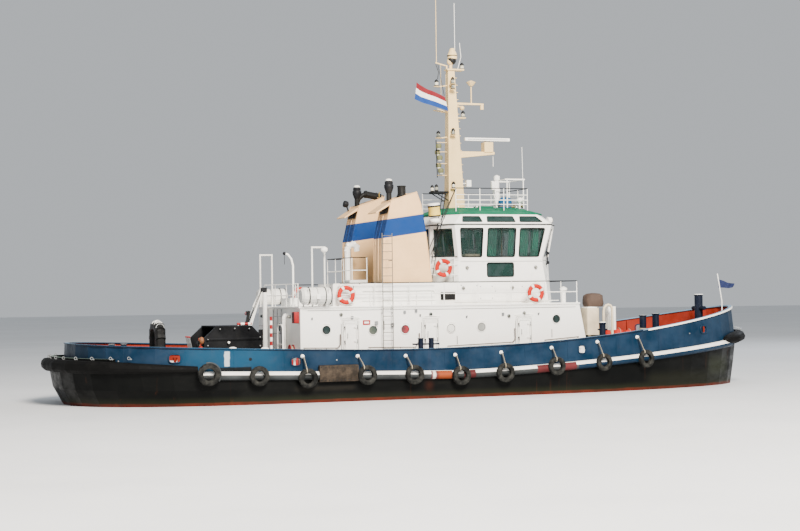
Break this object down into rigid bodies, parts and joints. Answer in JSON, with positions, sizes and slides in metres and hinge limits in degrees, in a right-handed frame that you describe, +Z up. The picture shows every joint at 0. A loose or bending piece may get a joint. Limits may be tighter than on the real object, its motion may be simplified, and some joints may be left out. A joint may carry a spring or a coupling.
{
  "type": "harbour tug",
  "caption": "Harbour tug with twin cycloidal propellers, blue bulwarks, white deckhouse, cream funnels, green-roofed wheelhouse, mast, towing gear and folding crane.",
  "frame": {"origin": "on the hull's centreline amidships, at the waterline she floats at", "axes": "+X forward to the stem, +Y to port, +Z up"},
  "size_m": [31.3391, 10.116, 21.05],
  "materials": {
    "hull_black": "satin black marine paint",
    "bottom_red": "matte red bottom paint",
    "propeller_metal": "cast bronze, dulled by sea water",
    "blue_paint": "gloss blue marine paint",
    "rubber": "worn black rubber",
    "white_paint": "gloss white marine paint, lightly stained",
    "cream_paint": "gloss cream marine paint",
    "green_paint": "satin green deck paint",
    "deck_paint": "matte grey-green non-slip deck paint",
    "dark_paint": "satin dark grey paint",
    "gear_steel": "grey painted steel, worn",
    "window_glass": "clear tinted safety glass",
    "console_plastic": "matte dark grey",
    "raft_plastic": "white glass-fibre canister",
    "flag_cloth": "woven bunting"
  },
  "bodies": {
    "hull_body": {"hull": "hull_black", "skeg": "bottom_red", "propeller_guard": "bottom_red", "bulwark_starboard": "blue_paint", "bulwark_port": "blue_paint", "strake_starboard": "rubber", "strake_port": "rubber", "stern_fender": "rubber", "bow_fender": "rubber", "deckhouse": "white_paint", "boat_deck": "deck_paint", "casing": "white_paint", "funnel_starboard": "cream_paint", "funnel_port": "cream_paint", "wheelhouse_lower": "white_paint", "wheelhouse_windows": "white_paint", "wheelhouse_glazing": "window_glass", "wheelhouse_brow": "white_paint", "wheelhouse_roof": "green_paint", "helm": "console_plastic", "mast": "cream_paint", "boat_deck_rail": "white_paint", "aft_deck_rail": "white_paint", "casing_rail": "white_paint", "roof_rail": "white_paint", "side_ladder": "white_paint", "roof_ladder": "white_paint", "life_raft_starboard": "raft_plastic", "life_raft_port": "raft_plastic", "crane_post": "white_paint", "winch_frame": "dark_paint", "towing_staple": "dark_paint", "windlass_frame": "white_paint", "bollards_fore_starboard": "blue_paint", "bollards_fore_port": "blue_paint", "bollards_mid_starboard": "blue_paint", "bollards_mid_port": "blue_paint", "bollards_aft_starboard": "blue_paint", "bollards_aft_port": "blue_paint", "bow_bitt": "blue_paint", "jackstaff": "white_paint", "ensign": "flag_cloth", "jack": "flag_cloth"},
    "propeller_starboard_body": {"propeller_starboard": "propeller_metal"},
    "propeller_port_body": {"propeller_port": "propeller_metal"},
    "radar_body": {"radar_scanner": "white_paint"},
    "winch_drum_body": {"winch_drum": "gear_steel"},
    "windlass_drum_body": {"windlass_drum": "gear_steel"},
    "crane_head_body": {"crane_head": "gear_steel"},
    "crane_boom_body": {"crane_boom": "gear_steel"},
    "crane_jib_body": {"crane_jib": "gear_steel"},
    "wheelhouse_door_body": {"wheelhouse_door": "white_paint"},
    "door_aft_starboard_body": {"door_aft_starboard": "white_paint"},
    "door_aft_port_body": {"door_aft_port": "white_paint"},
    "door_mid_starboard_body": {"door_mid_starboard": "white_paint"},
    "door_mid_port_body": {"door_mid_port": "white_paint"},
    "door_fore_starboard_body": {"door_fore_starboard": "white_paint"},
    "door_fore_port_body": {"door_fore_port": "white_paint"}
  },
  "joints": [
    {"name": "propeller_starboard_spin", "type": "hinge", "parent": "hull_body", "child": "propeller_starboard_body", "pos_m": [4.6, -1.75, -2.55], "axis": [0, 0, 1], "continuous": true},
    {"name": "propeller_port_spin", "type": "hinge", "parent": "hull_body", "child": "propeller_port_body", "pos_m": [4.6, 1.75, -2.55], "axis": [0, 0, 1], "continuous": true},
    {"name": "radar_spin", "type": "hinge", "parent": "hull_body", "child": "radar_body", "pos_m": [3.52, 0, 10.64], "axis": [0, 0, 1], "continuous": true},
    {"name": "winch_drum_spin", "type": "hinge", "parent": "hull_body", "child": "winch_drum_body", "pos_m": [-8.12, 0, 2.08], "axis": [0, 1, 0], "continuous": true},
    {"name": "windlass_drum_spin", "type": "hinge", "parent": "hull_body", "child": "windlass_drum_body", "pos_m": [8.2, 0, 2.35], "axis": [0, 1, 0], "continuous": true},
    {"name": "crane_slew", "type": "hinge", "parent": "hull_body", "child": "crane_head_body", "pos_m": [-6.08, 1.45, 4.3], "axis": [0, 0, 1], "range_deg": [-75, 0]},
    {"name": "crane_luff", "type": "hinge", "parent": "crane_head_body", "child": "crane_boom_body", "pos_m": [-6.23, 1.45, 4.45], "axis": [0, 1, 0], "range_deg": [0, 90]},
    {"name": "crane_knuckle", "type": "hinge", "parent": "crane_boom_body", "child": "crane_jib_body", "pos_m": [-6.91344, 1.45, 2.832], "axis": [0, 1, 0], "range_deg": [-150, 0]},
    {"name": "door_aft_starboard_hinge", "type": "hinge", "parent": "hull_body", "child": "door_aft_starboard_body", "pos_m": [-3.5, -3.12, 2.305], "axis": [0, 0, 1], "range_deg": [0, 105]},
    {"name": "door_aft_port_hinge", "type": "hinge", "parent": "hull_body", "child": "door_aft_port_body", "pos_m": [-3.5, 3.12, 2.305], "axis": [0, 0, -1], "range_deg": [0, 105]},
    {"name": "door_mid_starboard_hinge", "type": "hinge", "parent": "hull_body", "child": "door_mid_starboard_body", "pos_m": [-0.08, -3.12, 2.305], "axis": [0, 0, 1], "range_deg": [0, 105]},
    {"name": "door_mid_port_hinge", "type": "hinge", "parent": "hull_body", "child": "door_mid_port_body", "pos_m": [-0.08, 3.12, 2.305], "axis": [0, 0, -1], "range_deg": [0, 105]},
    {"name": "door_fore_starboard_hinge", "type": "hinge", "parent": "hull_body", "child": "door_fore_starboard_body", "pos_m": [4.06, -3.12, 2.305], "axis": [0, 0, 1], "range_deg": [0, 105]},
    {"name": "door_fore_port_hinge", "type": "hinge", "parent": "hull_body", "child": "door_fore_port_body", "pos_m": [4.06, 3.12, 2.305], "axis": [0, 0, -1], "range_deg": [0, 105]},
    {"name": "wheelhouse_door_hinge", "type": "hinge", "parent": "hull_body", "child": "wheelhouse_door_body", "pos_m": [0.23, 0.33, 5.6], "axis": [0, 0, -1], "range_deg": [0, 105]}
  ]
}
